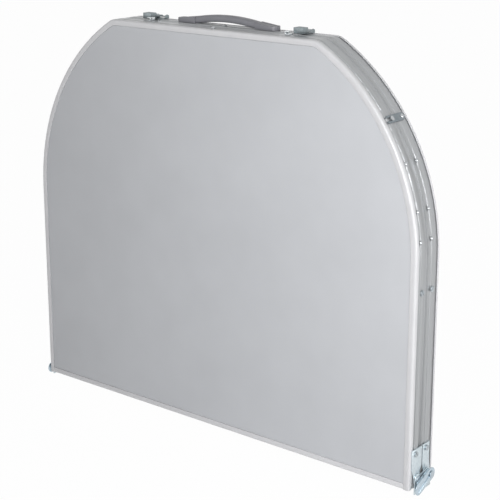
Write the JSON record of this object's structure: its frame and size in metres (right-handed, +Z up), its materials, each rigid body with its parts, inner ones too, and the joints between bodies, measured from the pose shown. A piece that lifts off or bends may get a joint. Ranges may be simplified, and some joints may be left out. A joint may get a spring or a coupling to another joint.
{
  "type": "folding camping table",
  "caption": "Suitcase-style folding camping table, closed: panel halves in a rounded metal edge, hinged at the bottom, with carry handle, clips and folded legs inside.",
  "frame": {"origin": "on the floor under the middle of the folded table, in the plane where the two halves meet", "axes": "+X along the hinge edge, +Z up from the hinge edge to the handle edge, -Y out of the front half's table surface"},
  "size_m": [0.7232, 0.0606, 0.6264],
  "materials": {
    "board": "satin aluminium-coloured laminate on a hardboard core",
    "edge_profile": "satin mill finish, drawn along the profile",
    "trim": "bright satin anodised",
    "gusset": "mill finish",
    "hinge_steel": "bright zinc plating",
    "pin_steel": "dull zinc plating",
    "lock_bar_steel": "bright zinc plating",
    "screw_steel": "dark zinc plating",
    "rivet": "bright turned head",
    "leg_plastic": "black nylon, moulded",
    "foot_rubber": "matte black",
    "stay_steel": "zinc plating",
    "keeper_steel": "bright nickel plating",
    "clip_steel": "zinc plating, slightly dulled",
    "catch_steel": "dull zinc plating",
    "handle_plastic": "mid grey, fine moulded grain",
    "leg_frame": "satin anodised tube",
    "leg_tube": "satin anodised tube"
  },
  "bodies": {
    "hinge": {"hinge_links": "hinge_steel", "hinge_pins": "pin_steel"},
    "front_half": {"front_board": "board", "front_rim": "edge_profile", "front_trim": "trim", "front_hinge_rail": "edge_profile", "front_hinge_trim": "trim", "front_gussets": "gusset", "front_hinge_plates": "hinge_steel", "front_side_screws": "screw_steel", "front_rivets": "rivet", "front_leg_brackets": "leg_plastic", "front_tube_clip": "leg_plastic", "front_stay_catches": "stay_steel", "front_catch_studs": "rivet", "front_keepers": "keeper_steel"},
    "rear_half": {"rear_board": "board", "rear_rim": "edge_profile", "rear_trim": "trim", "rear_hinge_rail": "edge_profile", "rear_hinge_trim": "trim", "rear_gussets": "gusset", "rear_hinge_plates": "hinge_steel", "rear_side_screws": "screw_steel", "rear_rivets": "rivet", "rear_leg_brackets": "leg_plastic", "rear_tube_clip": "leg_plastic", "rear_stay_catches": "stay_steel", "side_catches": "catch_steel", "catch_rivets": "rivet", "clip_bases": "clip_steel", "handle_mounts": "handle_plastic"},
    "front_legs": {"front_leg_frame": "leg_frame", "front_leg_collars": "leg_plastic"},
    "rear_legs": {"rear_leg_frame": "leg_frame", "rear_leg_collars": "leg_plastic"},
    "front_left_extension": {"front_left_leg": "leg_tube", "front_left_foot": "foot_rubber"},
    "front_right_extension": {"front_right_leg": "leg_tube", "front_right_foot": "foot_rubber"},
    "rear_left_extension": {"rear_left_leg": "leg_tube", "rear_left_foot": "foot_rubber"},
    "rear_right_extension": {"rear_right_leg": "leg_tube", "rear_right_foot": "foot_rubber"},
    "front_stay_pair": {"front_stays": "stay_steel"},
    "rear_stay_pair": {"rear_stays": "stay_steel"},
    "handle": {"handle_grip": "handle_plastic"},
    "left_clip": {"clip_left": "clip_steel"},
    "right_clip": {"clip_right": "clip_steel"},
    "left_lock_bar": {"lock_bar_left": "lock_bar_steel"},
    "right_lock_bar": {"lock_bar_right": "lock_bar_steel"}
  },
  "joints": [
    {"name": "front_fold", "type": "hinge", "parent": "hinge", "child": "front_half", "pos_m": [0, -0.0125, 0.02035], "axis": [1, 0, 0], "range_deg": [0, 90]},
    {"name": "rear_fold", "type": "hinge", "parent": "hinge", "child": "rear_half", "pos_m": [0, 0.0125, 0.02035], "axis": [-1, 0, 0], "range_deg": [0, 90]},
    {"name": "front_leg_fold", "type": "hinge", "parent": "front_half", "child": "front_legs", "pos_m": [0, -0.0115, 0.568], "axis": [1, 0, 0], "range_deg": [0, 90]},
    {"name": "rear_leg_fold", "type": "hinge", "parent": "rear_half", "child": "rear_legs", "pos_m": [0, 0.0115, 0.568], "axis": [-1, 0, 0], "range_deg": [0, 90]},
    {"name": "front_stay_fold", "type": "hinge", "parent": "front_legs", "child": "front_stay_pair", "pos_m": [0, -0.0115, 0.418], "axis": [-1, 0, 0], "range_deg": [0, 129.59]},
    {"name": "rear_stay_fold", "type": "hinge", "parent": "rear_legs", "child": "rear_stay_pair", "pos_m": [0, 0.0115, 0.418], "axis": [1, 0, 0], "range_deg": [0, 129.59]},
    {"name": "front_left_leg_slide", "type": "slide", "parent": "front_legs", "child": "front_left_extension", "axis": [0, 0, -1], "range_m": [0, 0.13]},
    {"name": "front_right_leg_slide", "type": "slide", "parent": "front_legs", "child": "front_right_extension", "axis": [0, 0, -1], "range_m": [0, 0.13]},
    {"name": "rear_left_leg_slide", "type": "slide", "parent": "rear_legs", "child": "rear_left_extension", "axis": [0, 0, -1], "range_m": [0, 0.13]},
    {"name": "rear_right_leg_slide", "type": "slide", "parent": "rear_legs", "child": "rear_right_extension", "axis": [0, 0, -1], "range_m": [0, 0.13]},
    {"name": "handle_fold", "type": "hinge", "parent": "rear_half", "child": "handle", "pos_m": [0, 0.0153, 0.6154], "axis": [1, 0, 0], "range_deg": [-90, 70]},
    {"name": "left_clip_fold", "type": "hinge", "parent": "rear_half", "child": "left_clip", "pos_m": [0, 0.024, 0.613], "axis": [-1, 0, 0], "range_deg": [0, 110]},
    {"name": "right_clip_fold", "type": "hinge", "parent": "rear_half", "child": "right_clip", "pos_m": [0, 0.024, 0.613], "axis": [-1, 0, 0], "range_deg": [0, 110]},
    {"name": "left_lock_swing", "type": "hinge", "parent": "hinge", "child": "left_lock_bar", "pos_m": [0, 0.0125, 0.02035], "axis": [-1, 0, 0], "range_deg": [0, 110]},
    {"name": "right_lock_swing", "type": "hinge", "parent": "hinge", "child": "right_lock_bar", "pos_m": [0, 0.0125, 0.02035], "axis": [-1, 0, 0], "range_deg": [0, 110]}
  ],
  "couplings": [
    {"joint": "rear_fold", "follows": "front_fold", "ratio": 1},
    {"joint": "front_leg_fold", "follows": "front_fold", "ratio": 1},
    {"joint": "rear_leg_fold", "follows": "front_fold", "ratio": 1},
    {"joint": "front_stay_fold", "follows": "front_fold", "ratio": 1.4399},
    {"joint": "rear_stay_fold", "follows": "front_fold", "ratio": 1.4399}
  ]
}
